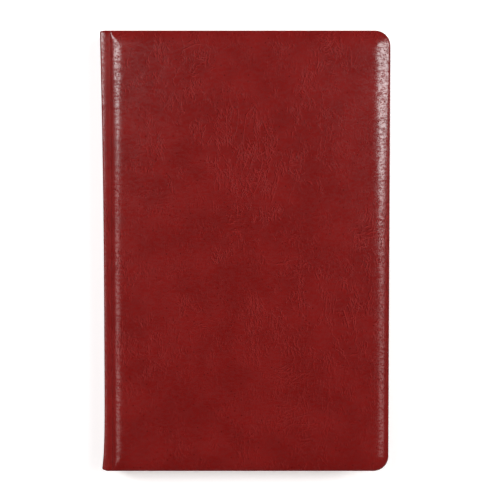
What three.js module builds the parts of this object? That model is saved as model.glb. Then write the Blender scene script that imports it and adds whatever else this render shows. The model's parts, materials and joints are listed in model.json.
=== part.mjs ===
// A hardcover travel journal in padded faux leather, closed and lying on its back cover.
// Millimetres. +X runs from the spine to the fore-edge, +Y to the head, +Z up from the table.
// The journal's own measures count X from its fold lines, where the covers and leaves turn.
import * as THREE from "three";

// The case
const endSquare = 3.5; // cover beyond the pages at the head and the tail
const foreSquare = 3.2; // cover beyond the pages at the fore-edge
const hingeDepth = 2.8; // each fold line below the outer face of its cover, and inside the spine's face
const jointWidth = 3.4; // fold line to the near edge of a cover
const foreCornerRadius = 7.5;
const hingeCornerRadius = 1.2;

// Layers of a cover, from outside to inside
const leatherThickness = 0.8;
const foamThickness = 0.9;
const boardThickness = 1.8;
const turnInThickness = 0.35;
const pastedownThickness = 0.25;

// Form of a cover
const rollWidth = 8; // rolled edge at the fore-edge, head and tail
const hingeRollWidth = 3; // rolled edge beside the spine
const rollDepth = 1.9; // how far a rolled edge falls
const lowerEdgeRadius = 0.6;
const foamEdge = 0.1; // foam left where the leather pulls it down over the board's edge
const leatherWall = 1; // leather round the edge of the board
const turnInWidth = 15;
const hingeLip = 0.5;
const pastedownMargin = 3.2; // cover's edge to the pastedown
const cornerTightening = 0.5; // share of an inset that a corner's radius loses

// Spine
const spineCornerRadius = 1.8;
const spineCrest = 2; // top of the spine's corner above its fold line
const grooveFloor = 0.95; // bottom of the groove above the fold line
const grooveEnd = 1; // fold line to the end of the spine leather
const grooveDip = 0.25;
const stripThickness = 0.5;
const stripMargin = 0.4; // fold line to the strip's end
const pinchDepth = 1.4; // how far the spine is drawn in between head and tail
const pinchCentre = -20; // where it is drawn in most, measured up from the middle
const headFlare = 2; // exponents: a higher one keeps the flare closer to the end
const tailFlare = 8;

// Paper
const pageHeight = 210;
const pageWidth = 135;
const pageCornerRadius = 5;
const backEdge = 1; // fold line to the backs of the pages
const signaturesPerHalf = 4;
const signatureThickness = 1.8; // sixteen leaves
const foldDepth = 0.6; // roundness of a signature's folded back
const flyleafThickness = 0.2;
const flyleafFold = 3.6; // fold line to the flyleaf's own fold
const centreLeaves = 4;
const centreLeafThickness = 0.2;
const leafGap = 0.1;

// Backing of the sewn pages
const threadStations = 5;
const threadThickness = 0.4;
const threadWidth = 1.2;
const mullThickness = 0.2;
const liningThickness = 0.2;
const mullMargin = 3; // page end to the end of the gauze
const bandRadius = 0.8;

// Clearances
const faceGap = 0.02; // between glued faces
const fitGap = 0.3; // between edges, and before anything that turns

// Smoothness of curves
const rollSteps = 5;
const foreCornerSteps = 7;
const hingeCornerSteps = 2;
const spineStations = 14;
const quarterTurn = Math.PI / 2;

// What follows from the sizes above
const coverThickness =
  leatherThickness + foamThickness + boardThickness + turnInThickness + pastedownThickness;
const centreThickness = centreLeaves * (centreLeafThickness + leafGap);
const halfBlock = signaturesPerHalf * signatureThickness + flyleafThickness + leafGap;
const totalThickness = 2 * (coverThickness + halfBlock) + centreThickness;
const halfPage = pageHeight / 2;
const halfHeight = halfPage + endSquare;
const pageReach = backEdge + pageWidth; // fold line to the pages' fore-edge
const coverReach = pageReach + foreSquare; // fold line to the cover's fore-edge
const boardInnerZ = leatherThickness + foamThickness + boardThickness;
const leatherInnerZ = boardInnerZ + turnInThickness;
const threadX = backEdge - fitGap / 2 - threadThickness / 2;
const mullX = threadX - threadThickness / 2 - faceGap - mullThickness / 2;
const liningX = mullX - mullThickness / 2 - faceGap - liningThickness / 2;
const stationPitch = pageHeight / threadStations;

const leather = finish("#771b1b", 0.42);
const foam = finish("#d8d4cc", 0.95);
const greyBoard = finish("#9a958b", 0.9);
const endpaper = finish("#efe8d8", 0.85);
const paper = finish("#f4efe2", 0.9);
const card = finish("#b9ae99", 0.9);
const gauze = finish("#e9e4d6", 0.95);
const thread = finish("#f2ede0", 0.8);
const bandCloth = finish("#8c2a26", 0.8);

function finish(color, roughness) {
  return new THREE.MeshStandardMaterial({ color, roughness, metalness: 0 });
}

function piece(name, geometry, material) {
  const mesh = new THREE.Mesh(geometry, material);
  mesh.name = name;
  return mesh;
}

// A closed solid through levels, each one an outline of equally many points at a height.
function stackedSolid(levels) {
  const count = levels[0].outline.length;
  const positions = levels.flatMap(({ outline, z }) => outline.flatMap((p) => [p.x, p.y, z]));
  const index = [];
  for (let level = 0; level + 1 < levels.length; level++) {
    for (let i = 0; i < count; i++) {
      const next = (i + 1) % count;
      const a = level * count + i;
      const b = level * count + next;
      index.push(a, b, b + count, a, b + count, a + count);
    }
  }
  const last = (levels.length - 1) * count;
  for (const [a, b, c] of THREE.ShapeUtils.triangulateShape(levels[0].outline, [])) {
    index.push(a, c, b);
  }
  for (const [a, b, c] of THREE.ShapeUtils.triangulateShape(levels.at(-1).outline, [])) {
    index.push(last + a, last + b, last + c);
  }
  const geometry = new THREE.BufferGeometry();
  geometry.setAttribute("position", new THREE.Float32BufferAttribute(positions, 3));
  geometry.setIndex(index);
  geometry.computeVertexNormals();
  return geometry;
}

function arc(x, y, radiusX, radiusY, start, steps) {
  return Array.from({ length: steps + 1 }, (_, i) => {
    const angle = start + (quarterTurn * i) / steps;
    return new THREE.Vector2(x + radiusX * Math.cos(angle), y + radiusY * Math.sin(angle));
  });
}

// An oblong from x0 to x1, seen from above, with its own corner radii at the spine and the fore-edge.
function plan(x0, x1, halfLength, hingeRadius, foreRadius) {
  const hinge = Math.min(hingeRadius, halfLength);
  const fore = Math.min(foreRadius, halfLength);
  const foreX = x1 - fore;
  const foreY = halfLength - fore;
  const hingeX = x0 + hinge;
  const hingeY = halfLength - hinge;
  return [
    ...arc(hingeX, -hingeY, hinge, hinge, 2 * quarterTurn, hingeCornerSteps),
    ...arc(foreX, -foreY, fore, fore, 3 * quarterTurn, foreCornerSteps),
    ...arc(foreX, foreY, fore, fore, 0, foreCornerSteps),
    ...arc(hingeX, hingeY, hinge, hinge, quarterTurn, hingeCornerSteps),
  ];
}

// The cover's outline, drawn in by one distance beside the spine and another on the other three sides.
function coverPlan(hingeInset, inset) {
  const foreRadius = foreCornerRadius - cornerTightening * Math.min(inset, foreCornerRadius);
  return plan(
    jointWidth + hingeInset,
    coverReach - inset,
    halfHeight - inset,
    hingeCornerRadius,
    foreRadius,
  );
}

// Levels of a rolled edge, from the flat face out to the wall. It begins at z and falls by depth.
function rolledLevels(wall, z, depth) {
  return Array.from({ length: rollSteps + 1 }, (_, i) => {
    const angle = (quarterTurn * i) / rollSteps;
    const share = 1 - Math.sin(angle);
    return {
      outline: coverPlan(wall + (hingeRollWidth - wall) * share, wall + (rollWidth - wall) * share),
      z: z + depth * (1 - Math.cos(angle)),
    };
  });
}

// Leather of one cover: over the foam, round the board and turned in on three sides. Outer face at z 0.
function coverLeather() {
  const window = coverPlan(leatherWall + hingeLip, turnInWidth);
  const foamFall = foamThickness - foamEdge;
  const lower = Array.from({ length: 3 }, (_, i) => {
    const angle = (quarterTurn * (i + 1)) / 3;
    const inset = lowerEdgeRadius * (1 - Math.cos(angle));
    const z = leatherInnerZ - lowerEdgeRadius * (1 - Math.sin(angle));
    return { outline: coverPlan(inset, inset), z };
  });
  return stackedSolid([
    ...rolledLevels(0, 0, rollDepth),
    { outline: coverPlan(0, 0), z: leatherInnerZ - lowerEdgeRadius },
    ...lower,
    { outline: window, z: leatherInnerZ },
    { outline: window, z: boardInnerZ },
    { outline: coverPlan(leatherWall, leatherWall), z: boardInnerZ },
    ...rolledLevels(leatherWall, leatherThickness, foamFall).reverse(),
  ]);
}

function coverFoam() {
  const wall = leatherWall + fitGap;
  const foamBottom = leatherThickness + foamThickness;
  const top = leatherThickness + faceGap;
  return stackedSolid([
    ...rolledLevels(wall, top + faceGap, foamThickness - foamEdge - faceGap),
    { outline: coverPlan(wall, wall), z: foamBottom },
  ]);
}

function coverBoard() {
  const outline = coverPlan(leatherWall + fitGap, leatherWall + fitGap);
  return stackedSolid([
    { outline, z: leatherThickness + foamThickness + faceGap },
    { outline, z: boardInnerZ - faceGap },
  ]);
}

// The pastedown lies on the board and laps over the turned-in leather.
function coverPastedown() {
  const onBoard = coverPlan(leatherWall + hingeLip + fitGap, turnInWidth + fitGap);
  const overTurnIn = coverPlan(hingeLip, pastedownMargin);
  return stackedSolid([
    { outline: onBoard, z: boardInnerZ },
    { outline: onBoard, z: leatherInnerZ + faceGap },
    { outline: overTurnIn, z: leatherInnerZ + faceGap },
    { outline: overTurnIn, z: coverThickness },
  ]);
}

function cover(side) {
  const group = new THREE.Group();
  group.add(
    piece(`${side}_leather`, coverLeather(), leather),
    piece(`${side}_padding`, coverFoam(), foam),
    piece(`${side}_board`, coverBoard(), greyBoard),
    piece(`${side}_pastedown`, coverPastedown(), endpaper),
    jointLeather(side),
  );
  return group;
}

function leafPlan(x0) {
  return plan(x0, pageReach, halfPage, fitGap, pageCornerRadius);
}

function leaf(x0, thickness) {
  const outline = leafPlan(x0);
  return stackedSolid([
    { outline, z: 0 },
    { outline, z: thickness },
  ]);
}

// A folded and sewn section of leaves, round along its back.
function signature() {
  const steps = 4;
  const levels = Array.from({ length: steps + 1 }, (_, i) => {
    const angle = (i / steps) * 2 * quarterTurn;
    return {
      outline: leafPlan(backEdge + foldDepth * (1 - Math.sin(angle))),
      z: ((signatureThickness - faceGap) * (1 - Math.cos(angle))) / 2,
    };
  });
  return stackedSolid(levels);
}

// The flyleaf and signatures of one half of the block, counted from the cover inwards.
function leaves(side, numbers) {
  const group = new THREE.Group();
  group.position.z = coverThickness;
  const flyleaf = piece(`${side}_flyleaf`, leaf(flyleafFold, flyleafThickness), endpaper);
  flyleaf.position.z = leafGap / 2;
  group.add(flyleaf);
  numbers.forEach((number, i) => {
    const section = piece(`signature_${number}`, signature(), paper);
    section.position.z = flyleafThickness + leafGap + i * signatureThickness;
    group.add(section);
  });
  return group;
}

function centreLeaf(i) {
  const mesh = piece(`centre_leaf_${i + 1}`, leaf(backEdge + leafGap, centreLeafThickness), paper);
  const down = i * (centreLeafThickness + leafGap) + leafGap / 2 + centreLeafThickness;
  mesh.position.z = (totalThickness + centreThickness) / 2 - down;
  return mesh;
}

// How far the spine is drawn in at y.
function pinch(y) {
  const above = y > pinchCentre;
  const reach = above ? halfHeight - pinchCentre : halfHeight + pinchCentre;
  const share = Math.abs(y - pinchCentre) / reach;
  return pinchDepth * (1 - share ** (above ? headFlare : tailFlare));
}

// A solid of one section all along the spine. The section's x is drawn in towards the groove's end.
function alongSpine(name, section, halfLength, material) {
  const levels = Array.from({ length: spineStations + 1 }, (_, i) => {
    const y = halfLength * Math.sin(quarterTurn * ((2 * i) / spineStations - 1));
    const outline = section.map((p) => {
      const share = Math.max(0, (grooveEnd - p.x) / (grooveEnd + hingeDepth));
      return new THREE.Vector2(p.x + share * pinch(-y), p.y);
    });
    return { outline, z: y };
  });
  const mesh = piece(name, stackedSolid(levels), material);
  mesh.rotation.x = quarterTurn;
  return mesh;
}

// Half of the spine's corner in section, from the groove's end up over the crest and down to the face.
// Heights count from the fold line, and inset is how far inside the outer surface the path runs.
function spineCorner(inset) {
  const centreX = spineCornerRadius - hingeDepth;
  const centreY = spineCrest - spineCornerRadius;
  const radius = spineCornerRadius - inset;
  const slope = Array.from({ length: 4 }, (_, i) => {
    const share = i / 4;
    const rise = (1 - Math.cos(2 * quarterTurn * share)) / 2;
    const x = grooveEnd + (centreX - grooveEnd) * share;
    return new THREE.Vector2(x, grooveFloor + (spineCrest - grooveFloor) * rise - inset);
  });
  return [...slope, ...arc(centreX, centreY, radius, radius, quarterTurn, 4)];
}

// The corner path above the front fold line and, mirrored, below the back one.
function bothCorners(inset) {
  const corner = spineCorner(inset);
  const front = corner.map((p) => new THREE.Vector2(p.x, totalThickness - hingeDepth + p.y));
  const back = corner.map((p) => new THREE.Vector2(p.x, hingeDepth - p.y)).reverse();
  return [...front, ...back];
}

function spineLeather() {
  const section = [...bothCorners(0), ...bothCorners(leatherThickness).reverse()];
  return alongSpine("spine_leather", section, halfHeight, leather);
}

function spineStrip() {
  const outer = leatherThickness + faceGap - hingeDepth;
  const bottom = hingeDepth + stripMargin;
  const section = oblong(outer, outer + stripThickness, bottom, totalThickness - bottom);
  return alongSpine("spine_strip", section, halfHeight - leatherWall, card);
}

// An oblong section, turning the same way as the other outlines.
function oblong(x0, x1, y0, y1) {
  return [
    new THREE.Vector2(x0, y0),
    new THREE.Vector2(x1, y0),
    new THREE.Vector2(x1, y1),
    new THREE.Vector2(x0, y1),
  ];
}

// Leather along the floor of the groove, which folds as its cover opens.
function jointLeather(side) {
  const steps = 4;
  const from = grooveEnd + fitGap;
  const to = jointWidth - fitGap;
  const surface = (depth) =>
    Array.from({ length: steps + 1 }, (_, i) => {
      const dip = grooveDip * Math.sin((2 * quarterTurn * i) / steps);
      const y = hingeDepth - grooveFloor + dip + depth;
      return new THREE.Vector2(from + ((to - from) * i) / steps, y);
    });
  const section = [...surface(0), ...surface(leatherThickness).reverse()];
  return alongSpine(`${side}_joint_leather`, section, halfHeight, leather);
}

// A thin layer glued along the backs of the pages.
function backing(name, x, thickness, material) {
  const bottom = coverThickness + flyleafThickness + leafGap;
  const height = totalThickness - 2 * bottom;
  const length = pageHeight - 2 * mullMargin;
  const mesh = piece(name, new THREE.BoxGeometry(thickness, length, height), material);
  mesh.position.set(x, 0, totalThickness / 2);
  return mesh;
}

// One row of stitches across the backs of all the signatures.
function sewingThread(i) {
  const outline = [0, 1, 2, 3].flatMap((quarter) =>
    arc(0, 0, threadThickness / 2, threadWidth / 2, quarter * quarterTurn, 2).slice(1),
  );
  const bottom = coverThickness + signatureThickness / 2;
  const row = stackedSolid([
    { outline, z: bottom },
    { outline, z: totalThickness - bottom },
  ]);
  const mesh = piece(`sewing_thread_${i + 1}`, row, thread);
  mesh.position.set(threadX, stationPitch * ((threadStations - 1) / 2 - i), 0);
  return mesh;
}

// A corded band across the end of the backs, at the head or the tail.
function endBand(name, end) {
  const steps = 3;
  const outline = (radius) =>
    [0, 1, 2, 3].flatMap((quarter) =>
      arc(0, 0, radius, radius, quarter * quarterTurn, steps).slice(1),
    );
  const bottom = coverThickness + flyleafThickness + leafGap;
  const band = stackedSolid([
    { outline: outline(bandRadius / 2), z: bottom },
    { outline: outline(bandRadius), z: bottom + bandRadius },
    { outline: outline(bandRadius), z: totalThickness - bottom - bandRadius },
    { outline: outline(bandRadius / 2), z: totalThickness - bottom },
  ]);
  const mesh = piece(name, band, bandCloth);
  mesh.position.set(backEdge, end * (halfPage + fitGap + bandRadius), 0);
  return mesh;
}

function spine() {
  const group = new THREE.Group();
  group.add(
    spineLeather(),
    spineStrip(),
    backing("spine_lining", liningX, liningThickness, card),
    backing("mull", mullX, mullThickness, gauze),
    endBand("head_band", 1),
    endBand("tail_band", -1),
  );
  for (let i = 0; i < threadStations; i++) {
    group.add(sewingThread(i));
  }
  return group;
}

// Back half as built. The front half is its mirror image, hung from the top face.
function half(side, numbers) {
  const group = new THREE.Group();
  group.add(cover(side), leaves(side, numbers));
  return group;
}

const sections = Array.from({ length: signaturesPerHalf }, (_, i) => i + 1);
const backHalf = half("back", sections.map((n) => 2 * signaturesPerHalf + 1 - n));
const frontHalf = half("front", sections);
frontHalf.position.z = totalThickness;
frontHalf.scale.z = -1;

const assembly = new THREE.Group();
assembly.add(backHalf, frontHalf, spine());
for (let i = 0; i < centreLeaves; i++) {
  assembly.add(centreLeaf(i));
}
assembly.position.x = (hingeDepth - coverReach) / 2;

const journal = new THREE.Group();
journal.add(assembly);

export default journal;
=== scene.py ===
import json
import math

import bmesh
import bpy
import numpy as np
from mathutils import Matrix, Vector


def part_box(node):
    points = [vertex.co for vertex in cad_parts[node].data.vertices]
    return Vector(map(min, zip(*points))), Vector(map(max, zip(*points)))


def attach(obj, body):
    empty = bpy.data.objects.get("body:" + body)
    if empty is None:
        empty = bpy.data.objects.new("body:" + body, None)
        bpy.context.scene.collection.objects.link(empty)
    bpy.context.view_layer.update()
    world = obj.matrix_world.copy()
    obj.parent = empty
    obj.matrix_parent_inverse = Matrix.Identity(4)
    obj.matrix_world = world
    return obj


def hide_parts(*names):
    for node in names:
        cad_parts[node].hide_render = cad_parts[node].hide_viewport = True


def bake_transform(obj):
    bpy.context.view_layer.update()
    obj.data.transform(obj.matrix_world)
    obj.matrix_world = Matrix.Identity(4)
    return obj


# The journal lies on its back cover. +X runs from the spine to the fore-edge, +Y to the head, +Z up.
# Leather, foam and leaves are built with x counted from the fold line. For the leather, the foam and the
# pasted endpapers, a depth below the outer face of their own cover takes the place of z.
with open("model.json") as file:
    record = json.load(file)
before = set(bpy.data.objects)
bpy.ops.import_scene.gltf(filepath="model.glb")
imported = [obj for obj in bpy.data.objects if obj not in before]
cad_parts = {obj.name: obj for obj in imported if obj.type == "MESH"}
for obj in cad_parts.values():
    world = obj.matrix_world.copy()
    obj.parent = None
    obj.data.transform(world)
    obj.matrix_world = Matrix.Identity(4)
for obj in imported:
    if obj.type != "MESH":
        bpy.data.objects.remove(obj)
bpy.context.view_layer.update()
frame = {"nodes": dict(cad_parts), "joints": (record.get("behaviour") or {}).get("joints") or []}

MM = 0.001

# Places taken from the frame
cover_low, cover_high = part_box("front_leather")
page_low, page_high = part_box("signature_1")
pivots = {joint["name"]: joint["pos_m"] for joint in frame["joints"]}
fold_x = pivots["back_cover_open"][0]
fold_depth = pivots["back_cover_open"][2]
thickness = cover_high.z
reach = cover_high.x - fold_x
half_height = cover_high.y
spine_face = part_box("spine_leather")[0].x - fold_x
page_reach = page_high.x - fold_x
half_page = page_high.y
page_back = page_low.x - fold_x
middle = thickness / 2
leaves_of = {"front": "front_leaves", "back": "rear_leaves"}

# Layers of a cover, as depths below its outer face
leather = 0.8 * MM
foam_bottom = 1.7 * MM
board_inner = 3.5 * MM
turn_in_face = thickness - cover_low.z
endpaper_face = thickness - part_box("front_pastedown")[0].z

# Form of a padded cover
fore_radius = 7.5 * MM
roll_width = 9.3 * MM
roll_depth = 1.8 * MM
hinge_roll = 6.6 * MM
groove_x = 1.3 * MM
groove_wall = 2.5 * MM
groove_depth = 1.25 * MM
turn_in_width = 15 * MM
lower_edge = 0.6 * MM
wall = 1 * MM
end_inset = 0.25 * MM
joint_end = 3.4 * MM

# Fineness of the leather's grid
leather_step = 1.5 * MM
edge_steps = 20
hinge_steps = 14
groove_steps = 5

# Form of the spine
spine_corner = 0.9 * MM
crest_rise = math.radians(1)
crest_fall = math.radians(4)
pinch_depth = 1.4 * MM
pinch_y = -20 * MM
head_flare = 2
tail_flare = 8
end_roll_width = 1.0 * MM
end_roll_depth = 0.5 * MM

# Leaves and sewing
paper_radius = 5 * MM
paper_corner_steps = 6
signatures = 8
centre_leaves = 4
thread_rows = 5
leaves_in_signature = 16
fold_round = 0.6 * MM


def make_camera():
    """Straight above the cover, leaning a little towards the head, as in the photograph."""
    lens = 100
    sensor = 36
    frame_width = 245.3 * MM
    lean = math.radians(2.8)
    centre_x = 2.4 * MM
    centre_y = 1.3 * MM
    distance = frame_width * lens / sensor
    data = bpy.data.cameras.new("camera")
    data.lens = lens
    data.sensor_width = sensor
    data.clip_start = 0.01
    camera = bpy.data.objects.new("camera", data)
    camera.location = (
        centre_x,
        centre_y + distance * math.sin(lean),
        thickness + distance * math.cos(lean),
    )
    camera.rotation_euler = (-lean, 0, 0)
    bpy.context.collection.objects.link(camera)
    bpy.context.scene.camera = camera


def smooth(share):
    share = np.clip(share, 0, 1)
    return share * share * (3 - 2 * share)


def rolled(distance, width, depth):
    """How far a rolled edge has fallen, at a distance in from its outline."""
    share = np.clip(distance / width, 0, 1)
    return depth * (1 - np.sqrt(1 - (1 - share) ** 2))


def roll_steps(width, count):
    """Distances in from a rolled edge, closest together where it is steep."""
    return width * (1 - np.sin(np.linspace(math.pi / 2, 0, count)))


def either(a, b):
    """The deeper of two falls, with a soft change from one to the other."""
    return (a**4 + b**4) ** 0.25


def plan(columns, rows, x0, x1, half, radius):
    """A sheet seen from above, with round fore-edge corners.
    columns run from 0 at the spine to 1, and rows from -1 at the tail to 1 at the head."""
    x = x0 + columns[:, None] * (x1 - x0) + 0 * rows[None, :]
    y = rows[None, :] * half + 0 * columns[:, None]
    u = (x - (x1 - radius)) / radius
    v = (np.abs(y) - (half - radius)) / radius
    corner = (u > 0) & (v > 0)
    u = np.where(corner, u, 0)
    v = np.where(corner, v, 0)
    round_x = x1 - radius + radius * u * np.sqrt(1 - v * v / 2)
    round_y = np.sign(y) * (half - radius + radius * v * np.sqrt(1 - u * u / 2))
    return np.where(corner, round_x, x), np.where(corner, round_y, y)


def outline_distance(x, y, x1, half, radius):
    """Distance in from the head, tail and fore-edge of a sheet."""
    beyond_x = x - (x1 - radius)
    beyond_y = np.abs(y) - (half - radius)
    straight = np.minimum(x1 - x, half - np.abs(y))
    in_corner = (beyond_x > 0) & (beyond_y > 0)
    return np.where(in_corner, radius - np.hypot(beyond_x, beyond_y), straight)


def grid(x, y, depth, side):
    """Points of a grid in the row frame, on the front or the back half of the journal."""
    z = depth if side == "back" else thickness - depth
    return np.stack(np.broadcast_arrays(x + fold_x, y, z), axis=-1)


def rim(points):
    """The edge of a grid, all the way round."""
    return np.concatenate([points[:-1, 0], points[-1, :-1], points[:0:-1, -1], points[0, :0:-1]])


def mesh_piece(name, points, faces):
    """A piece made of points and faces."""
    mesh = bpy.data.meshes.new(name)
    mesh.from_pydata(points, [], faces)
    piece = bpy.data.objects.new(name, mesh)
    bpy.context.collection.objects.link(piece)
    return piece


def grid_faces(number):
    """The four-sided faces of a grid of numbered points."""
    corners = [number[:-1, :-1], number[1:, :-1], number[1:, 1:], number[:-1, 1:]]
    return np.stack(corners, axis=-1).reshape(-1, 4)


def closed_sheet(name, outer, rings, inner, face_material, edge_material=None):
    """A closed mesh of an outer grid, rings of points round its edge, and an inner grid."""
    nx, ny = outer.shape[:2]
    count = nx * ny
    loop = rim(outer)
    loops = len(rings)
    vertices = np.concatenate([outer.reshape(-1, 3), *rings, inner.reshape(-1, 3)])
    number = np.arange(count).reshape(nx, ny)
    quads = grid_faces(number)
    last = count + loops * len(loop)
    edge = rim(number[..., None])[:, 0]
    chain = [edge, *[count + k * len(loop) + np.arange(len(loop)) for k in range(loops)], edge + last]
    bands = [
        np.stack([a, b, np.roll(b, -1), np.roll(a, -1)], axis=-1)
        for a, b in zip(chain, chain[1:])
    ]
    faces = np.concatenate([quads, quads[:, ::-1] + last, *bands])
    piece = mesh_piece(name, vertices.tolist(), faces.tolist())
    mesh = piece.data
    mesh.materials.append(face_material)
    if edge_material:
        mesh.materials.append(edge_material)
        faces_on_sheet = 2 * len(quads)
        slots = np.zeros(len(faces), int)
        slots[faces_on_sheet:] = 1
        mesh.polygons.foreach_set("material_index", slots)
    return finished(piece)


def finished(piece):
    """Turns the faces outward, smooths them and keeps each point's place at rest for the materials."""
    mesh = piece.data
    work = bmesh.new()
    work.from_mesh(mesh)
    bmesh.ops.recalc_face_normals(work, faces=work.faces)
    work.to_mesh(mesh)
    work.free()
    mesh.polygons.foreach_set("use_smooth", [True] * len(mesh.polygons))
    mesh.set_sharp_from_angle(angle=math.radians(50))
    place = mesh.attributes.new("rest_place", "FLOAT_VECTOR", "POINT")
    places = np.empty(len(mesh.vertices) * 3, np.float32)
    mesh.vertices.foreach_get("co", places)
    place.data.foreach_set("vector", places)
    mesh.update()
    return piece


def fractions(places):
    return (places - places[0]) / (places[-1] - places[0])


def spread(start, end, step):
    """Evenly spaced places between two ends, both left out."""
    return np.linspace(start, end, max(3, round((end - start) / step)))[1:-1]


# Leather

def cover_columns():
    """Places across a cover, from the groove to the fore-edge."""
    groove = np.linspace(groove_x, groove_wall, groove_steps)[:-1]
    hinge = groove_wall + roll_steps(hinge_roll, hinge_steps)
    fore = reach - roll_steps(roll_width, edge_steps)[::-1]
    return np.concatenate([groove, hinge, spread(hinge[-1], fore[0], leather_step), fore])


def cover_rows():
    """Places along a cover, from the tail to the head."""
    end = half_height - roll_steps(roll_width, edge_steps)[::-1]
    return np.concatenate([-end[::-1], spread(-end[0], end[0], leather_step), end])


def cover_depth(x, y):
    """Depth of the leather's outer face, rolled down at its edges and beside the groove."""
    distance = outline_distance(x, y, reach, half_height, fore_radius)
    edge = rolled(distance, roll_width, roll_depth)
    hinge = rolled(x - groove_wall, hinge_roll, groove_depth)
    return either(edge, hinge)


def cover_lining_depth(x, y):
    """Depth of the leather's inner face, where it lies on the foam and in the groove."""
    distance = outline_distance(x, y, reach, half_height, fore_radius) - wall
    edge = rolled(distance, roll_width - wall, leather)
    hinge = rolled(x - groove_wall - leather, hinge_roll - leather, groove_depth)
    return leather + either(edge, hinge)


def corner_pleats(x, y):
    """Small gathers where the leather goes round the fore-edge corners."""
    half_depth = 0.06 * MM
    gathered_width = 3 * MM
    gathers_in_a_turn = 26
    across = x - (reach - fore_radius)
    along = np.abs(y) - (half_height - fore_radius)
    angle = np.arctan2(np.maximum(along, 0), np.maximum(across, 0) + 1e-9)
    distance = outline_distance(x, y, reach, half_height, fore_radius)
    near = smooth(1 - distance / gathered_width) * (across > 0) * (along > 0)
    fade = np.sin(2 * angle)
    return half_depth * near * fade * (1 + np.cos(angle * gathers_in_a_turn))


def soft_waves(x, y):
    """Slow unevenness of padding under leather, from -1 to 1."""
    u = x / MM
    v = y / MM
    wave = np.sin(0.071 * u + 0.043 * v + 1.3) * np.sin(0.052 * v - 0.031 * u + 0.4)
    ripple = np.sin(0.19 * u - 0.083 * v + 2.1) * np.sin(0.124 * v + 0.067 * u + 5.0)
    return 0.65 * wave + 0.35 * ripple


def padded_relief():
    """Height of a foam pad's cover, puffed and wrinkled by a cloth simulation at ten times its size."""
    scale = 10
    step = 2.6 * MM
    held_border = 3.2 * MM
    first_bulge = 0.02
    last_frame = 20
    xs = np.linspace(joint_end, reach, round((reach - joint_end) / step))
    ys = np.linspace(-half_height, half_height, round(2 * half_height / step))
    x, y = np.meshgrid(xs, ys, indexing="ij")
    inside = outline_distance(x, y, reach, half_height, fore_radius)
    inside = np.minimum(inside, x - joint_end)
    count_x, count_y = x.shape
    faces = grid_faces(np.arange(x.size).reshape(x.shape))
    start = first_bulge * soft_waves(x, y)
    points = np.stack([x * scale, y * scale, start], axis=-1).reshape(-1, 3)
    cloth_piece = mesh_piece("pad_cloth", points.tolist(), faces.tolist())
    mesh = cloth_piece.data
    held = cloth_piece.vertex_groups.new(name="held")
    held.add(np.flatnonzero(inside.ravel() < held_border).tolist(), 1, "REPLACE")
    cloth = cloth_piece.modifiers.new("cloth", "CLOTH")
    settings = cloth.settings
    settings.quality = 6
    settings.mass = 0.3
    settings.tension_stiffness = 40
    settings.compression_stiffness = 40
    settings.shear_stiffness = 20
    settings.bending_stiffness = 4
    settings.vertex_group_mass = "held"
    settings.shrink_min = -0.012
    settings.use_pressure = True
    settings.uniform_pressure_force = 4
    settings.effector_weights.gravity = 0
    cloth.collision_settings.use_collision = False
    cloth.collision_settings.use_self_collision = False
    scene = bpy.context.scene
    for now in range(1, last_frame + 1):
        scene.frame_set(now)
    shaped = cloth_piece.evaluated_get(bpy.context.evaluated_depsgraph_get())
    found = np.empty(x.size * 3)
    shaped.data.vertices.foreach_get("co", found)
    scene.frame_set(1)
    bpy.data.objects.remove(cloth_piece)
    bpy.data.meshes.remove(mesh)
    height = found.reshape(count_x, count_y, 3)[..., 2] / scale
    return xs, ys, height


def sampled(relief, x, y):
    """The relief at any place on the cover, by straight lines between its points."""
    xs, ys, height = relief
    i = np.clip((x - xs[0]) / (xs[1] - xs[0]), 0, len(xs) - 1.001)
    j = np.clip((y - ys[0]) / (ys[1] - ys[0]), 0, len(ys) - 1.001)
    i0 = i.astype(int)
    j0 = j.astype(int)
    u = i - i0
    v = j - j0
    low = height[i0, j0] * (1 - u) + height[i0 + 1, j0] * u
    high = height[i0, j0 + 1] * (1 - u) + height[i0 + 1, j0 + 1] * u
    return low * (1 - v) + high * v


def puff(height):
    """The small share of the simulated swelling that leather glued over foam shows."""
    shown_share = 0.03
    return shown_share * height


def cover_leather(side, material, relief):
    """The padded leather of one cover, from the groove to the fore-edge, with its turn-ins."""
    calm_beside_spine = 5 * MM
    calm_at_edge = 4 * MM
    calming = 14 * MM
    unevenness = 0.05 * MM
    turning_x = 2.6 * MM
    turning_width = 3 * MM
    columns = cover_columns()
    rows = cover_rows()
    across = fractions(columns)
    along = rows / half_height
    x, y = plan(across, along, groove_x, reach, half_height, fore_radius)
    depth = cover_depth(x, y) + corner_pleats(x, y)
    inside = outline_distance(x, y, reach, half_height, fore_radius)
    settled = smooth((x - calm_beside_spine) / calming) * smooth((inside - calm_at_edge) / calming)
    uneven = unevenness * soft_waves(x, y) * settled
    if relief:
        uneven = uneven - puff(sampled(relief, x, y)) * settled
    if side == "back":
        uneven = np.maximum(uneven, 0)
    outer = grid(x, y, depth + uneven, side)
    turned = smooth((x - turning_x) / turning_width)
    inset = end_inset + (wall - end_inset) * smooth((columns - turning_x) / turning_width)
    inner_x, inner_y = plan(
        across, along, groove_x, reach - wall, half_height - inset[:, None], fore_radius - wall / 2
    )
    lining = cover_lining_depth(inner_x, inner_y)
    inner = grid(inner_x, inner_y, lining, side)
    levels = turn_in_levels()
    start = rim(outer)
    end = rim(inner)
    share = rim(turned[..., None])
    rings = []
    for k, (inset_k, depth_k) in enumerate(levels):
        radius = fore_radius - min(inset_k, fore_radius) / 2
        ring_x, ring_y = plan(
            across, along, groove_x, reach - inset_k, half_height - inset_k, radius
        )
        ring = rim(grid(ring_x, ring_y, np.full_like(ring_x, depth_k), side))
        straight = start + (end - start) * (k + 1) / (len(levels) + 1)
        rings.append(straight + (ring - straight) * share)
    return closed_sheet(f"leather_{side}_cover", outer, rings, inner, material)


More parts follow.
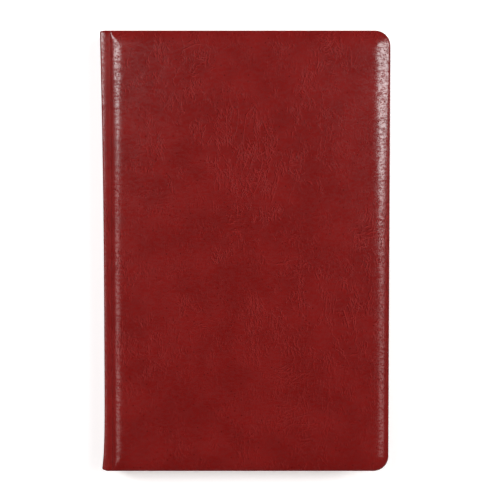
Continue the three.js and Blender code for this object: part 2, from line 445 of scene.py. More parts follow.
def turn_in_levels():
    """(inset, depth) down the wall of a cover, round its lower edge, in along the turn-in and back."""
    wall_start = roll_depth + 0.5 * MM
    lining_start = 2.5 * MM
    near_edge = 3 * MM
    halfway = 8 * MM
    cut_edge = 0.2 * MM
    round_steps = 6
    lower = [
        (lower_edge * (1 - math.cos(a)), turn_in_face - lower_edge * (1 - math.sin(a)))
        for a in np.linspace(0, math.pi / 2, round_steps)
    ]
    return [
        (0, wall_start),
        *lower,
        (near_edge, turn_in_face),
        (halfway, turn_in_face),
        (turn_in_width - cut_edge, turn_in_face),
        (turn_in_width, board_inner + cut_edge),
        (turn_in_width, board_inner),
        (halfway, board_inner),
        (wall, board_inner),
        (wall, lining_start),
    ]


def pinch(y):
    """How far the spine is drawn in at y, between its flared head and tail."""
    above = y > pinch_y
    length = np.where(above, half_height - pinch_y, half_height + pinch_y)
    share = np.abs(y - pinch_y) / length
    flare = np.where(above, head_flare, tail_flare)
    return pinch_depth * (1 - share**flare)


def spine_path():
    """Outer face of half the spine in section: out of the groove, over the corner and down the face."""
    slope_steps = 12
    corner_steps = 9
    face_steps = 9
    corner_start = spine_face + spine_corner * (1 - math.sin(crest_fall))
    arc = (groove_x - corner_start) / (math.sin(crest_rise) + math.sin(crest_fall))
    lean = np.linspace(-crest_rise, crest_fall, slope_steps)
    slope_x = groove_x - arc * (math.sin(crest_rise) + np.sin(lean))
    slope_depth = groove_depth + arc * (math.cos(crest_rise) - np.cos(lean))
    turn = np.linspace(crest_fall, math.pi / 2, corner_steps)[1:]
    corner_x = spine_face + spine_corner - spine_corner * np.sin(turn)
    corner_depth = slope_depth[-1] + spine_corner * (math.cos(crest_fall) - np.cos(turn))
    face_depth = np.linspace(corner_depth[-1], middle, face_steps)[1:]
    x = np.concatenate([slope_x, corner_x, np.full_like(face_depth, spine_face)])
    depth = np.concatenate([slope_depth, corner_depth, face_depth])
    return x, depth


def spine_leather(side, material):
    """The leather of half the spine, from the groove to the middle of the spine's face."""
    tail_cut = 0.7 * MM
    head_cut = 0.3 * MM
    cut_reach = 10 * MM
    cut_change = 8 * MM
    turn_thickness = 0.6 * MM
    turn_width = 8 * MM
    turn_change = 1 * MM
    least_thickness = 0.3 * MM
    ring_shares = (0.35, 0.7)
    path_x, path_depth = spine_path()
    tangent_x = np.gradient(path_x)
    tangent_depth = np.gradient(path_depth)
    tangent_x[0], tangent_depth[0] = -1, 0
    tangent_x[-1], tangent_depth[-1] = 0, 1
    length = np.hypot(tangent_x, tangent_depth)
    inward_x = (tangent_depth / length)[:, None]
    inward_depth = (-tangent_x / length)[:, None]
    rows = cover_rows()
    y = np.broadcast_to(rows[None, :], (len(path_x), len(rows)))
    outness = ((groove_x - path_x) / (groove_x - spine_face))[:, None]
    drawn = outness * pinch(y)
    from_end = half_height - np.abs(y)
    own_fall = rolled(from_end, end_roll_width, end_roll_depth)
    groove_fall = cover_depth(np.full_like(y, groove_x), y) - groove_depth
    past_groove = smooth(outness * 3)
    fall = groove_fall + (own_fall - groove_fall) * past_groove
    cut = np.where(y < 0, tail_cut, head_cut) * smooth(outness * 1.6 - 0.5)
    near_end = smooth((cut_reach - from_end) / cut_change)
    place_y = y - np.sign(y) * cut * near_end
    outer_x = path_x[:, None] + inward_x * fall + drawn
    outer_depth = path_depth[:, None] + inward_depth * fall
    outer = grid(outer_x, place_y, outer_depth, side)
    turned_in = turn_thickness * smooth((turn_width - from_end) / turn_change)
    inner_fall = leather + turned_in * past_groove
    inner_fall = np.maximum(inner_fall, fall + least_thickness)
    inner_y = place_y * (1 - end_inset / half_height)
    inner_x = path_x[:, None] + inward_x * inner_fall + drawn
    inner_depth = path_depth[:, None] + inward_depth * inner_fall
    inner = grid(inner_x, inner_y, inner_depth, side)
    start = rim(outer)
    end = rim(inner)
    rings = [start + (end - start) * share for share in ring_shares]
    return closed_sheet(f"leather_spine_{side}", outer, rings, inner, material)


def foam_pad(side, material):
    """The foam under the leather of one cover."""
    step = 3 * MM
    steps = 8
    edge_width = 7 * MM
    hinge_width = 3 * MM
    edge_depth = 0.7 * MM
    clearance = 0.06 * MM
    side_clearance = 0.3 * MM
    inset = wall + side_clearance
    hinge = joint_end + inset
    fore = reach - inset
    half = half_height - inset
    radius = fore_radius - inset / 2
    beside_hinge = hinge + roll_steps(hinge_width, steps)
    flat = spread(hinge + hinge_width, fore - edge_width, step)
    columns = np.concatenate([beside_hinge, flat, fore - roll_steps(edge_width, steps)[::-1]])
    end = half - roll_steps(edge_width, steps)[::-1]
    rows = np.concatenate([-end[::-1], spread(-end[0], end[0], step), end])
    x, y = plan(fractions(columns), rows / half, hinge, fore, half, radius)
    distance = outline_distance(x, y, fore, half, radius)
    edge = rolled(distance, edge_width, edge_depth)
    beside_spine = rolled(x - hinge, hinge_width, edge_depth)
    outer = grid(x, y, leather + clearance + either(edge, beside_spine), side)
    inner = grid(x, y, np.full_like(x, foam_bottom), side)
    return closed_sheet(f"foam_{side}", outer, [], inner, material)


# Paper

def paper_columns(x0, near):
    """Columns of a leaf, close together near its fold so that it can bend there."""
    bending_step = 1.2 * MM
    flat_step = 4 * MM
    hinge = np.linspace(x0, near, round((near - x0) / bending_step))
    fore = page_reach - roll_steps(paper_radius, paper_corner_steps)[::-1]
    return np.concatenate([hinge, spread(near, fore[0], flat_step), fore])


def paper_rows():
    """Rows of a leaf, from the tail to the head."""
    step = 12 * MM
    end = half_page - roll_steps(paper_radius, paper_corner_steps)[::-1]
    return np.concatenate([-end[::-1], spread(-end[0], end[0], step), end])


def signature(number, face, edge):
    """A folded section of sixteen leaves, whose edges lie a little in and out of line."""
    near = 30 * MM
    out_of_line = 0.2 * MM
    share_at_ends = 0.4
    leaf_faces = (0.12, 0.88)
    low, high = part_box(f"signature_{number}")
    random = np.random.default_rng(number)
    columns = paper_columns(page_back, near)
    rows = paper_rows()
    across = fractions(columns)
    along = rows / half_page

    def leaf_grid(z, inset):
        share = 2 * (z - low.z) / (high.z - low.z) - 1
        back = page_back + fold_round * (1 - math.sqrt(max(0, 1 - share * share)))
        half = half_page - inset * share_at_ends
        x, y = plan(across, along, back, page_reach - inset, half, paper_radius)
        return np.stack(np.broadcast_arrays(x + fold_x, y, z), axis=-1)

    leaf = (high.z - low.z) / leaves_in_signature
    rings = []
    whole = random.uniform(0, out_of_line)
    for k in range(leaves_in_signature):
        inset = whole + random.uniform(0, out_of_line)
        for leaf_face in leaf_faces:
            rings.append(rim(leaf_grid(low.z + (k + leaf_face) * leaf, inset)))
    bottom = leaf_grid(low.z, whole + out_of_line / 2)
    top = leaf_grid(high.z, whole + out_of_line / 2)
    piece = closed_sheet(f"section_{number}", bottom, rings, top, face, edge)
    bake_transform(piece)
    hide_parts(f"signature_{number}")


def flat_leaf(name, x0, low_z, high_z, near, face, edge):
    """A single leaf, with columns close together as far as near."""
    across = fractions(paper_columns(x0, near))
    along = paper_rows() / half_page
    x, y = plan(across, along, x0, page_reach, half_page, paper_radius)
    bottom = np.stack(np.broadcast_arrays(x + fold_x, y, low_z), axis=-1)
    top = np.stack(np.broadcast_arrays(x + fold_x, y, high_z), axis=-1)
    return closed_sheet(name, bottom, [], top, face, edge)


def centre_leaf(number, face, edge):
    """A leaf at the middle of the block, on a hinge of its own."""
    node = f"centre_leaf_{number}"
    low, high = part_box(node)
    near = 70 * MM
    name = f"loose_leaf_{number}"
    piece = flat_leaf(name, low.x - fold_x, low.z, high.z, near, face, edge)
    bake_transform(piece)
    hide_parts(node)


def flyleaf(side, face, edge):
    """The free half of an endpaper, tipped on beside the fold of the outermost section."""
    node = f"{side}_flyleaf"
    low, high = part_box(node)
    near = 30 * MM
    name = f"free_endpaper_{side}"
    piece = flat_leaf(name, page_back + fold_round, low.z, high.z, near, face, edge)
    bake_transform(piece)
    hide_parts(node)


def pasted_endpaper(side, face, edge):
    """The glued half of an endpaper: across the joint, and over the board and the turned-in leather."""
    sheet = 0.2 * MM
    from_backs = 0.2 * MM
    margin = 3.2 * MM
    past_corner = 3 * MM
    corner_steps = 8
    joint_columns = 16
    past_joint = 5 * MM
    board_start = 4.9 * MM
    column_step = 3 * MM
    row_step = 5 * MM
    beside_step = 1 * MM
    step_count = 7
    step_depth = 0.16 * MM
    step_width = 1.2 * MM
    settling_x = 6 * MM
    settling_width = 2 * MM
    dip_depth = 0.35 * MM
    dip_end = 4.6 * MM
    start = page_back + from_backs
    fore = reach - margin
    half = half_height - margin
    radius = fore_radius - margin / 2
    window = reach - turn_in_width
    window_half = half_height - turn_in_width
    corner = roll_steps(radius + past_corner, corner_steps)[::-1]
    in_joint = np.linspace(start, past_joint, joint_columns)[:-1]
    on_board = spread(board_start, window - beside_step, column_step)
    step_columns = np.linspace(window - beside_step, window + beside_step, step_count)
    columns = np.concatenate([in_joint, on_board, step_columns, fore - corner])
    step_rows = np.linspace(window_half - beside_step, window_half + beside_step, step_count)
    middle_rows = spread(-step_rows[0], step_rows[0], row_step)
    end = half - corner
    rows = np.concatenate([-end[::-1], -step_rows[::-1], middle_rows, step_rows, end])
    x, y = plan(fractions(columns), rows / half, start, fore, half, radius)
    inside = outline_distance(x, y, reach, half_height, fore_radius)
    past_turn_in = smooth((inside - turn_in_width + step_width / 2) / step_width)
    sunk = step_depth * past_turn_in * smooth((x - settling_x) / settling_width)
    across_joint = np.clip((x - start) / (dip_end - start), 0, 1)
    dip = dip_depth * np.sin(math.pi * across_joint) ** 2
    depth = endpaper_face - sunk - dip
    inner = grid(x, y, depth, side)
    outer = grid(x, y, depth - sheet, side)
    piece = closed_sheet(f"pasted_endpaper_{side}", outer, [], inner, face, edge)
    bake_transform(piece)
    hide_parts(f"{side}_pastedown")


def end_band(node, material):
    """A corded band at the head or tail of the backs, wound in two colours."""
    low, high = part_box(node)
    centre_x = (low.x + high.x) / 2
    centre_y = (low.y + high.y) / 2
    radius = (high.x - low.x) / 2
    turns = 26
    rings = 8 * turns
    sides = 20
    ridge_depth = 0.1
    round_share = 0.06
    least_dome = 0.04
    angle = np.linspace(0, 2 * math.pi, sides, endpoint=False)
    share = np.linspace(0, 1, rings + 1)
    ridge = 1 - ridge_depth * (1 + np.cos(2 * math.pi * turns * share))
    from_end = np.minimum(share, 1 - share)
    dome = np.sqrt(np.clip(1 - (1 - from_end / round_share) ** 2, least_dome, 1))
    size = radius * ridge * np.where(from_end > round_share, 1, dome)
    z = low.z + (high.z - low.z) * share
    x = centre_x + size[:, None] * np.cos(angle)
    y = centre_y + size[:, None] * np.sin(angle)
    points = np.stack(np.broadcast_arrays(x, y, z[:, None]), axis=-1).reshape(-1, 3)
    number = np.arange((rings + 1) * sides).reshape(rings + 1, sides)
    faces = np.stack(
        [number[:-1], number[1:], np.roll(number[1:], -1, 1), np.roll(number[:-1], -1, 1)], axis=-1
    ).reshape(-1, 4)
    ends = [number[0].tolist(), number[-1].tolist()]
    piece = mesh_piece(f"wound_{node}", points.tolist(), faces.tolist() + ends)
    piece.data.materials.append(material)
    finished(piece)
    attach(piece, "spine")
    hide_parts(node)


def gauze_sheet(material):
    """The mull glued along the sewn backs."""
    ripple_depth = 0.03 * MM
    ripple_length = 6 * MM
    across_steps = 9
    along_steps = 60
    low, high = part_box("mull")
    z = np.linspace(low.z, high.z, across_steps)
    y = np.linspace(low.y, high.y, along_steps)
    wave = ripple_depth * np.sin(y / ripple_length)[None, :] * np.ones((len(z), 1))
    outer = np.stack(np.broadcast_arrays(low.x + wave, y[None, :], z[:, None]), axis=-1)
    inner = np.stack(np.broadcast_arrays(high.x + wave, y[None, :], z[:, None]), axis=-1)
    piece = closed_sheet("mull_gauze", outer, [], inner, material)
    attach(piece, "spine")
    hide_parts("mull")


# Materials

def fill(tree, made, inputs):
    """Links each input to another node's output, or gives it its value."""
    for name, value in inputs.items():
        if isinstance(value, bpy.types.NodeSocket):
            tree.links.new(value, made.inputs[name])
        else:
            made.inputs[name].default_value = value


def add(tree, kind, inputs=None, **settings):
    """A node with its settings, its inputs filled or linked."""
    made = tree.nodes.new("ShaderNode" + kind)
    for name, value in settings.items():
        setattr(made, name, value)
    fill(tree, made, inputs or {})
    return made


def calculate(tree, operation, a, b=0.0):
    made = add(tree, "Math", {0: a, 1: b}, operation=operation)
    return made.outputs[0]


def mixed(tree, factor, a, b):
    """Colour a where factor is 0 and b where it is 1."""
    made = add(tree, "Mix", {0: factor, 6: a, 7: b}, data_type="RGBA")
    return made.outputs[2]


def ramp(tree, value, low, high, out_low=0.0, out_high=1.0):
    """The value stretched from low..high to out_low..out_high, softly at both ends."""
    made = add(
        tree, "MapRange", {0: value, 1: low, 2: high, 3: out_low, 4: out_high},
        interpolation_type="SMOOTHSTEP",
    )
    return made.outputs[0]


def scaled(tree, vector, factors):
    made = add(tree, "VectorMath", {0: vector, 1: factors}, operation="MULTIPLY")
    return made.outputs[0]


def noise(tree, vector, scale, detail=2.0, roughness=0.5, distortion=0.0):
    return add(
        tree, "TexNoise",
        {"Vector": vector, "Scale": scale, "Detail": detail, "Roughness": roughness,
         "Distortion": distortion},
    )


def effect(name, inputs, outputs):
    """An empty node group with named inputs and outputs."""
    tree = bpy.data.node_groups.new(name, "ShaderNodeTree")
    for label, kind, value in inputs:
        socket = tree.interface.new_socket(label, in_out="INPUT", socket_type=kind)
        if value is not None:
            socket.default_value = value
    for label, kind in outputs:
        tree.interface.new_socket(label, in_out="OUTPUT", socket_type=kind)
    start = tree.nodes.new("NodeGroupInput")
    end = tree.nodes.new("NodeGroupOutput")
    return tree, start.outputs, end.inputs


def placed(tree, group, inputs):
    """The outputs of an effect, with this material's own values."""
    made = tree.nodes.new("ShaderNodeGroup")
    made.node_tree = group
    fill(tree, made, inputs)
    return made.outputs


def mottling_effect():
    """Slow cloudy variation and a fine speckle."""
    tree, given, result = effect(
        "mottling",
        [("Place", "NodeSocketVector", None), ("Cloud size", "NodeSocketFloat", 20.0),
         ("Speckle size", "NodeSocketFloat", 0.5)],
        [("Cloud", "NodeSocketFloat"), ("Speckle", "NodeSocketFloat")],
    )
    cloud_scale = calculate(tree, "DIVIDE", 1.0, given["Cloud size"])
    speckle_scale = calculate(tree, "DIVIDE", 1.0, given["Speckle size"])
    cloud = noise(tree, given["Place"], cloud_scale, 3.0, 0.55)
    speckle = noise(tree, given["Place"], speckle_scale, 3.0, 0.6)
    tree.links.new(cloud.outputs[0], result["Cloud"])
    tree.links.new(speckle.outputs[0], result["Speckle"])
    return tree


def fibre_effect():
    """Short fibres that lie every way, as in paper, board and felted card."""
    tree, given, result = effect(
        "fibres",
        [("Place", "NodeSocketVector", None), ("Size", "NodeSocketFloat", 1.0)],
        [("Fibres", "NodeSocketFloat")],
    )
    scale = calculate(tree, "DIVIDE", 1.0, given["Size"])
    bent = noise(tree, given["Place"], scale, 2.0, 0.5, 2.5)
    fine = noise(tree, given["Place"], calculate(tree, "MULTIPLY", scale, 4.0), 2.0, 0.6, 1.0)
    both = calculate(
        tree, "ADD",
        calculate(tree, "MULTIPLY", bent.outputs[0], 0.6),
        calculate(tree, "MULTIPLY", fine.outputs[0], 0.4),
    )
    tree.links.new(both, result["Fibres"])
    return tree


def crease_effect():
    """Crumpled lines that run mostly along the height, in loose clusters. Each pale line is a crease whose
    paleness also stands in for the lit side of its ridge, as a painted highlight, and a copy of it just
    beside it gives painted shade on the crease's far side.
    """
    tree, given, result = effect(
        "creases",
        [("Place", "NodeSocketVector", None), ("Spacing", "NodeSocketFloat", 5.0),
         ("Line", "NodeSocketFloat", 0.02), ("Amount", "NodeSocketFloat", 0.5)],
        [("Light", "NodeSocketFloat"), ("Dark", "NodeSocketFloat")],
    )
    scale = calculate(tree, "DIVIDE", 1.0, given["Spacing"])
    # The same lines moved a little sideways: where the moved copy lies, the far side of the crease is
    # painted in shade.
    beside = add(tree, "VectorMath", {0: given["Place"], 1: (0.45, 0.15, 0.0)}, operation="ADD")
    lines = []
    for place in (given["Place"], beside.outputs[0]):
        stretched = scaled(tree, place, (1.0, 0.4, 1.0))
        lie = noise(tree, stretched, scale, 4.0, 0.6, 0.7)
        off_line = calculate(tree, "ABSOLUTE", calculate(tree, "SUBTRACT", lie.outputs[0], 0.5))
        lines.append(ramp(tree, off_line, 0.0, given["Line"], 1.0, 0.0))
    cluster = noise(tree, given["Place"], calculate(tree, "MULTIPLY", scale, 0.3), 2.0, 0.6, 0.4)
    level = calculate(tree, "SUBTRACT", 0.7, calculate(tree, "MULTIPLY", given["Amount"], 0.4))
    shown = ramp(tree, cluster.outputs[0], level, calculate(tree, "ADD", level, 0.14))
    # Positive where the line lies (pale crease, partly painted highlight); negative where the moved copy
    # lies (painted shade beside the crease).
    step = calculate(tree, "MULTIPLY", calculate(tree, "SUBTRACT", lines[0], lines[1]), shown)
    tree.links.new(calculate(tree, "MAXIMUM", step, 0.0), result["Light"])
    fall = calculate(tree, "MULTIPLY", step, -1.0)
    tree.links.new(calculate(tree, "MAXIMUM", fall, 0.0), result["Dark"])
    return tree


def new_material(name):
    material = bpy.data.materials.new(name)
    material.use_nodes = True
    tree = material.node_tree
    return material, tree, tree.nodes["Principled BSDF"]


def kept_place(tree):
    """Millimetres in the row frame at rest, kept on the mesh, so that nothing slides as a piece bends."""
    held = add(tree, "Attribute", attribute_name="rest_place")
    return scaled(tree, held.outputs["Vector"], (1000, 1000, 1000))


def solid_place(tree):
    """Millimetres in the row frame, for a piece that moves as one."""
    held = add(tree, "TexCoord")
    return scaled(tree, held.outputs["Object"], (1000, 1000, 1000))


def colour(red, green, blue):
    """An sRGB colour, 0 to 255, as linear light."""
    return tuple(
        c / 255 / 12.92 if c <= 10 else ((c / 255 + 0.055) / 1.055) ** 2.4
        for c in (red, green, blue)
    ) + (1.0,)


def bumped(tree, shader, height, strength, distance):
    bump = add(tree, "Bump", {"Height": height, "Strength": strength, "Distance": distance})
    tree.links.new(bump.outputs[0], shader.inputs["Normal"])


def leather_material(effects):
    material, tree, shader = new_material("waxed_faux_leather")
    place = kept_place(tree)
    clouds = placed(
        tree, effects["mottling"], {"Place": place, "Cloud size": 22.0, "Speckle size": 0.5}
    )
    layers = []
    for spacing, line, amount in ((12.0, 0.014, 0.5), (4.5, 0.035, 0.54), (2.2, 0.07, 0.58)):
        values = {"Place": place, "Spacing": spacing, "Line": line, "Amount": amount}
        layers.append(placed(tree, effects["creases"], values))
    turned = {"Vector": place, "Angle": math.radians(78)}
    across = add(tree, "VectorRotate", turned, rotation_type="Z_AXIS")
    values = {"Place": across.outputs[0], "Spacing": 5.5, "Line": 0.03, "Amount": 0.44}
    layers.append(placed(tree, effects["creases"], values))
    # light: pale crease lines, partly a painted highlight on the lit side of each ridge. dark: painted
    # shade beside each crease.
    light = layers[0]["Light"]
    dark = layers[0]["Dark"]
    for layer in layers[1:]:
        light = calculate(tree, "MAXIMUM", light, layer["Light"])
        dark = calculate(tree, "MAXIMUM", dark, layer["Dark"])
    pits = add(tree, "TexVoronoi", {"Vector": place, "Scale": 0.6})
    pit_shape = ramp(tree, pits.outputs["Distance"], 0.14, 0.26, 1.0, 0.0)
    chosen = add(tree, "SeparateColor", {0: pits.outputs["Color"]})
    pit = calculate(tree, "MULTIPLY", pit_shape, ramp(tree, chosen.outputs[0], 0.78, 0.84))
    creased = noise(tree, place, 0.028, 2.0, 0.5)
    patches = ramp(tree, creased.outputs[0], 0.4, 0.56, 0.42, 1.0)
    height = add(tree, "SeparateXYZ", {0: place}).outputs["Y"]
    shown = calculate(tree, "MULTIPLY", patches, ramp(tree, height, -85.0, -10.0, 0.6, 1.0))
    light = calculate(tree, "MULTIPLY", light, shown)
    # The dark mask holds the painted shade beside the creases, together with the darkened pits.
    dark = calculate(tree, "MAXIMUM", calculate(tree, "MULTIPLY", dark, shown), pit)
    base = mixed(
        tree, ramp(tree, clouds["Cloud"], 0.35, 0.65), colour(107, 15, 13), colour(116, 20, 18)
    )
    # Painted shade beside the creases, and the dark pits, mixed into the base colour.
    shaded = mixed(tree, calculate(tree, "MULTIPLY", dark, 0.9), base, colour(85, 13, 12))
    # Pale creases, whose paler colour is also a painted highlight on the lit side of each ridge.
    creased_and_highlit = mixed(tree, calculate(tree, "MULTIPLY", light, 0.85), shaded, colour(137, 36, 34))
    tree.links.new(creased_and_highlit, shader.inputs["Base Color"])
    rough = ramp(tree, clouds["Speckle"], 0.3, 0.7, 0.2, 0.28)
    tree.links.new(rough, shader.inputs["Roughness"])
    shader.inputs["Specular IOR Level"].default_value = 0.05
    shader.inputs["Coat Roughness"].default_value = 0.155
    shader.inputs["Coat IOR"].default_value = 1.58
    puckers = noise(tree, scaled(tree, place, (0.45, 1.1, 1.0)), 1.0, 2.0, 0.65, 0.8)
    wax = ramp(tree, puckers.outputs[0], 0.4, 0.58, 0.2, 1.0)
    waxed = calculate(tree, "MULTIPLY", wax, calculate(tree, "SUBTRACT", 1.0, dark))
    tree.links.new(waxed, shader.inputs["Coat Weight"])
    grain = calculate(
        tree, "ADD",
        calculate(tree, "MULTIPLY", clouds["Speckle"], 0.7),
        calculate(tree, "MULTIPLY", puckers.outputs[0], 0.6),
    )
    relief = calculate(
        tree, "SUBTRACT",
        calculate(tree, "MULTIPLY", light, 0.25),
        calculate(tree, "MULTIPLY", dark, 0.4),
    )
    bumped(tree, shader, calculate(tree, "ADD", grain, relief), 0.34, 0.14 * MM)
    return material


def paper_material(name, tint, effects):
    """Soft, slightly clouded paper with a few darker flecks."""
    material, tree, shader = new_material(name)
    place = kept_place(tree)
    fibres = placed(tree, effects["fibres"], {"Place": place, "Size": 1.4})
    clouds = placed(
        tree, effects["mottling"], {"Place": place, "Cloud size": 30.0, "Speckle size": 0.5}
    )
    light = colour(*tint)
    dark = colour(*[0.965 * c for c in tint])
    tone = mixed(tree, ramp(tree, clouds["Cloud"], 0.3, 0.7), dark, light)
    fleck = ramp(tree, fibres["Fibres"], 0.6, 0.75)
    tinted = mixed(
        tree, calculate(tree, "MULTIPLY", fleck, 0.35), tone, colour(*[0.9 * c for c in tint])
    )
    tree.links.new(tinted, shader.inputs["Base Color"])
    tree.links.new(ramp(tree, fibres["Fibres"], 0.3, 0.7, 0.82, 0.94), shader.inputs["Roughness"])
    bumped(tree, shader, fibres["Fibres"], 0.25, 0.05 * MM)
    return material


def page_edge_material():
    """The cut edges of many leaves, as fine lines along the block."""
    material, tree, shader = new_material("page_edges")
    place = kept_place(tree)
    stretched = scaled(tree, place, (0.03, 0.03, 4.5))
    lines = noise(tree, stretched, 1.0, 3.0, 0.7)
    broad = noise(tree, scaled(tree, place, (0.02, 0.02, 1.2)), 1.0, 2.0, 0.6)
    tone = mixed(
        tree, ramp(tree, lines.outputs[0], 0.4, 0.6), colour(198, 176, 146), colour(250, 240, 222)
    )
    aged = mixed(
        tree, ramp(tree, broad.outputs[0], 0.42, 0.6, 0.0, 0.45), tone, colour(214, 192, 160)
    )
    tree.links.new(aged, shader.inputs["Base Color"])
    tree.links.new(
        ramp(tree, lines.outputs[0], 0.3, 0.7, 0.95, 0.8), shader.inputs["Roughness"]
    )
    bumped(tree, shader, lines.outputs[0], 0.6, 0.06 * MM)
    return material


def board_material(name, tint, size, effects):
    """Felted board or card, with fibres of the given size."""
    material, tree, shader = new_material(name)
    place = solid_place(tree)
    fibres = placed(tree, effects["fibres"], {"Place": place, "Size": size})
    dark = colour(*[0.82 * c for c in tint])
    tone = mixed(tree, ramp(tree, fibres["Fibres"], 0.35, 0.65), dark, colour(*tint))
    tree.links.new(tone, shader.inputs["Base Color"])
    tree.links.new(ramp(tree, fibres["Fibres"], 0.3, 0.7, 0.85, 0.97), shader.inputs["Roughness"])
    bumped(tree, shader, fibres["Fibres"], 0.4, 0.12 * MM)
    return material


def foam_material():
    """Open cells of soft foam."""
    material, tree, shader = new_material("soft_foam")
    place = kept_place(tree)
    cells = add(tree, "TexVoronoi", {"Vector": place, "Scale": 1.6})
    depth = cells.outputs["Distance"]
    tone = mixed(tree, ramp(tree, depth, 0.1, 0.6), colour(180, 175, 165), colour(224, 220, 211))
    tree.links.new(tone, shader.inputs["Base Color"])
    tree.links.new(ramp(tree, depth, 0.1, 0.6, 1.0, 0.88), shader.inputs["Roughness"])
    bumped(tree, shader, depth, 0.6, 0.3 * MM)
    return material


def gauze_material():
    """Plain woven threads across and along the backs."""
    tint = (233, 228, 214)
    pitch = 0.5
    material, tree, shader = new_material("mull_weave")
    place = kept_place(tree)
    across = scaled(tree, place, (0, 1 / pitch, 0))
    along = scaled(tree, place, (0, 0, 1 / pitch))
    waves = [
        add(tree, "TexWave", {"Vector": v, "Scale": 0.5, "Distortion": 0.6}, bands_direction=d)
        for v, d in ((across, "Y"), (along, "Z"))
    ]
    threads = calculate(tree, "MAXIMUM", waves[0].outputs[1], waves[1].outputs[1])
    tone = mixed(tree, threads, colour(*[0.62 * c for c in tint]), colour(*tint))
    tree.links.new(tone, shader.inputs["Base Color"])
    tree.links.new(ramp(tree, threads, 0.0, 1.0, 0.98, 0.85), shader.inputs["Roughness"])
    bumped(tree, shader, threads, 0.7, 0.1 * MM)
    return material


def band_material():
    """Red and cream silk wound in turn round the cord of the end band."""
    material, tree, shader = new_material("wound_silk")
    place = kept_place(tree)
    wave = add(tree, "TexWave", {"Vector": place, "Scale": 0.26}, bands_direction="Z")
    strands = noise(tree, scaled(tree, place, (2.0, 2.0, 14.0)), 1.0, 2.0, 0.5)
    stripe = ramp(tree, wave.outputs[1], 0.45, 0.55)
    tone = mixed(tree, stripe, colour(134, 34, 32), colour(232, 221, 196))
    worn = mixed(
        tree, ramp(tree, strands.outputs[0], 0.35, 0.65, 0.0, 0.3), tone, colour(70, 26, 22)
    )
    tree.links.new(worn, shader.inputs["Base Color"])
    tree.links.new(ramp(tree, strands.outputs[0], 0.3, 0.7, 0.5, 0.7), shader.inputs["Roughness"])
    bumped(tree, shader, strands.outputs[0], 0.5, 0.05 * MM)
    return material


def thread_material():
    """Waxed linen thread, twisted."""
    material, tree, shader = new_material("waxed_thread")
    place = solid_place(tree)
    slant = {"Vector": place, "Angle": math.radians(35)}
    turned = add(tree, "VectorRotate", slant, rotation_type="X_AXIS")
    winding = {"Vector": turned.outputs[0], "Scale": 0.9, "Distortion": 0.4}
    twist = add(tree, "TexWave", winding, bands_direction="Z").outputs[1]
    tone = mixed(tree, twist, colour(196, 184, 156), colour(240, 232, 212))
    tree.links.new(tone, shader.inputs["Base Color"])
    tree.links.new(ramp(tree, twist, 0.0, 1.0, 0.75, 0.55), shader.inputs["Roughness"])
    bumped(tree, shader, twist, 0.8, 0.1 * MM)
    return material


def stage_material():
    """A pale floor that reads as white to the camera, and keeps the shadow that falls on it."""
    material, tree, shader = new_material("pale_floor")
    shader.inputs["Base Color"].default_value = (0.8, 0.8, 0.8, 1)
    shader.inputs["Roughness"].default_value = 0.9
    shader.inputs["Specular IOR Level"].default_value = 0
    shader.inputs["Emission Color"].default_value = (1, 1, 1, 1)
    path = add(tree, "LightPath")
    away = add(
        tree, "VectorMath", {0: add(tree, "TexCoord").outputs["Object"]}, operation="LENGTH"
    )
    white = ramp(tree, away.outputs["Value"], 0.4, 1.6, 0.45, 1.0)
    mirrored = calculate(
        tree, "MAXIMUM", path.outputs["Is Glossy Ray"], path.outputs["Is Transmission Ray"]
    )
    seen = calculate(
        tree, "MAXIMUM",
        calculate(tree, "MULTIPLY", path.outputs["Is Camera Ray"], white),
        calculate(tree, "MULTIPLY", mirrored, 0.15),
    )
    tree.links.new(seen, shader.inputs["Emission Strength"])
    return material


def make_stage():
    """The floor, with a wall far round it."""
    below_cover = 0.02 * MM
    sides = 48
    radius = 6.0
    height = 4.0
    turn = np.linspace(0, 2 * math.pi, sides, endpoint=False)
    circle = np.stack([radius * np.cos(turn), radius * np.sin(turn), 0 * turn], axis=-1)
    top = circle + (0, 0, height)
    following = np.roll(np.arange(sides), -1)
    walls = [[i, following[i], sides + following[i], sides + i] for i in range(sides)]
    points = np.concatenate([circle, top]).tolist()
    floor = mesh_piece("floor", points, [list(range(sides)), *walls])
    floor.data.materials.append(stage_material())
    floor.location.z = -below_cover


def soft_light(name, place, width, height, power, aim_y=0.0, tint=(1, 1, 1)):
    """A studio panel that faces the journal. Its width is level, and its height leans up over it."""
    data = bpy.data.lights.new(name, "AREA")
    data.shape = "RECTANGLE"
    data.size = width
    data.size_y = height
    data.energy = power
    data.color = tint
    light = bpy.data.objects.new(name, data)
    light.location = place
    beam = Vector((0, aim_y, 0)) - light.location
    light.rotation_euler = beam.to_track_quat("-Z", "Y").to_euler()
    bpy.context.collection.objects.link(light)


def make_light():
    """Two bright panels out beyond the head, two faint warm strips out beyond the tail, and a dim room."""
    panel_power = 11.4
    warm = (1, 0.68, 0.66)
    soft_light("left_panel", (-0.7, 0.44, 1.0), 0.36, 1.08, panel_power)
    soft_light("right_panel", (0.73, 0.29, 1.0), 0.36, 0.95, panel_power)
    soft_light("left_strip", (-0.47, -0.24, 1.1), 0.56, 0.22, 1.1, aim_y=-0.24, tint=warm)
    soft_light("right_strip", (0.52, -0.16, 1.1), 0.4, 0.22, 0.8, aim_y=-0.16, tint=warm)
    world = bpy.data.worlds.new("studio")
    world.use_nodes = True
    background = world.node_tree.nodes["Background"]
    background.inputs[0].default_value = (1, 1, 1, 1)
    background.inputs[1].default_value = 0.09
    bpy.context.scene.world = world
    bpy.context.scene.view_settings.view_transform = "Standard"


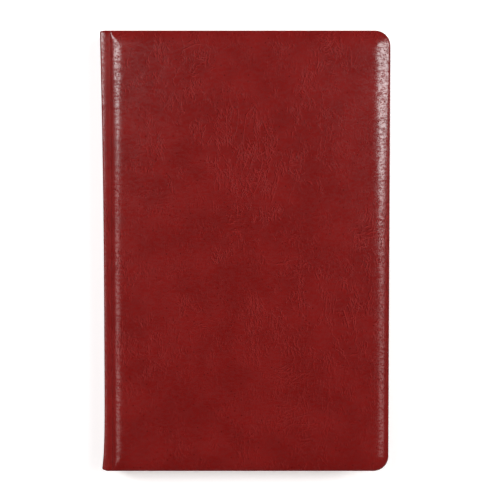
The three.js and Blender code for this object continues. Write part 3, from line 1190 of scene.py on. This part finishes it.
def dress(node, material):
    """Gives a piece of the frame its finish."""
    for place in frame["nodes"][node].material_slots:
        place.link = "OBJECT"
        place.material = material


def make_cover(side, finishes, relief):
    """One cover with its half of the spine, its foam, its endpaper and its board."""
    z = grid(0, 0, np.array(groove_depth), side)[2]
    turning_z = grid(0, 0, np.array(fold_depth), side)[2]
    cover = cover_leather(side, finishes["leather"], relief)
    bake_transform(cover)
    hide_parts(f"{side}_leather", f"{side}_joint_leather")
    half_spine = spine_leather(side, finishes["leather"])
    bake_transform(half_spine)
    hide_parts("spine_leather")
    pad = foam_pad(side, finishes["foam"])
    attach(pad, f"{side}_cover")
    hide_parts(f"{side}_padding")
    pasted_endpaper(side, finishes["endpaper"], finishes["page_edge"])
    flyleaf(side, finishes["endpaper"], finishes["page_edge"])
    dress(f"{side}_board", finishes["grey_board"])


def make_block(finishes):
    """The sewn leaves, with the bands, gauze, lining, card and thread that hold their backs."""
    for number in range(1, signatures + 1):
        signature(number, finishes["page"], finishes["page_edge"])
    for number in range(1, centre_leaves + 1):
        centre_leaf(number, finishes["page"], finishes["page_edge"])
    end_band("head_band", finishes["silk"])
    end_band("tail_band", finishes["silk"])
    gauze_sheet(finishes["gauze"])
    dress("spine_strip", finishes["card"])
    dress("spine_lining", finishes["card"])
    for number in range(1, thread_rows + 1):
        dress(f"sewing_thread_{number}", finishes["thread"])


def main():
    make_camera()
    make_stage()
    make_light()
    effects = {
        "mottling": mottling_effect(),
        "fibres": fibre_effect(),
        "creases": crease_effect(),
    }
    finishes = {
        "leather": leather_material(effects),
        "page": paper_material("cream_page", (240, 232, 213), effects),
        "page_edge": page_edge_material(),
        "endpaper": paper_material("laid_endpaper", (233, 222, 198), effects),
        "foam": foam_material(),
        "card": board_material("spine_card", (185, 174, 153), 1.2, effects),
        "grey_board": board_material("grey_board", (154, 149, 139), 2.0, effects),
        "thread": thread_material(),
        "gauze": gauze_material(),
        "silk": band_material(),
    }
    relief = None
    relief = padded_relief()
    for side in leaves_of:
        make_cover(side, finishes, relief)
    make_block(finishes)


main()
